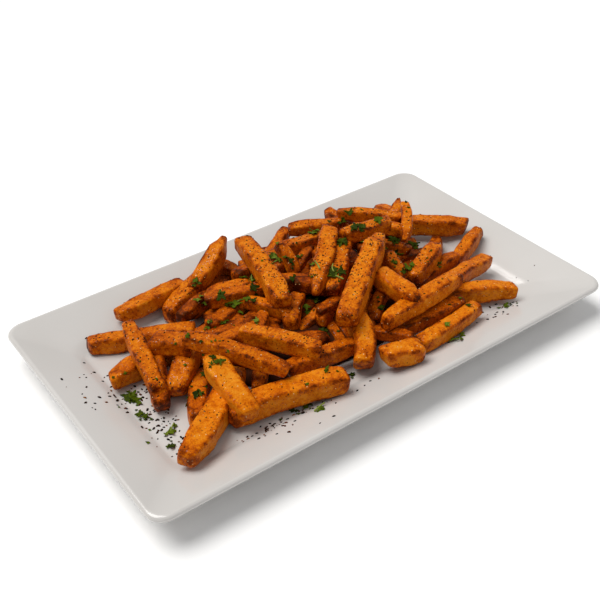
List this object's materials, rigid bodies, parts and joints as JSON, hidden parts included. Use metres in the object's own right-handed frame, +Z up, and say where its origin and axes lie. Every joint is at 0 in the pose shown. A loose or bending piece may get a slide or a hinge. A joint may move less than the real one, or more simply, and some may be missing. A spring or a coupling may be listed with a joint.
{
  "type": "french fries portion",
  "caption": "Heap of seasoned thick-cut french fries with chopped parsley and ground pepper, served on a rectangular white platter with a broad sloping rim.",
  "frame": {"origin": "middle of the platter's outline, on the plane that its foot ring stands on", "axes": "+X along the platter's long side, +Y from the near long side to the far one, +Z up"},
  "size_m": [0.31, 0.183, 0.0531],
  "materials": {
    "glaze": "glossy white glaze",
    "crust": "fried crust with pepper and herbs"
  },
  "bodies": {
    "root": {"platter": "glaze", "fries": "crust"}
  },
  "joints": []
}
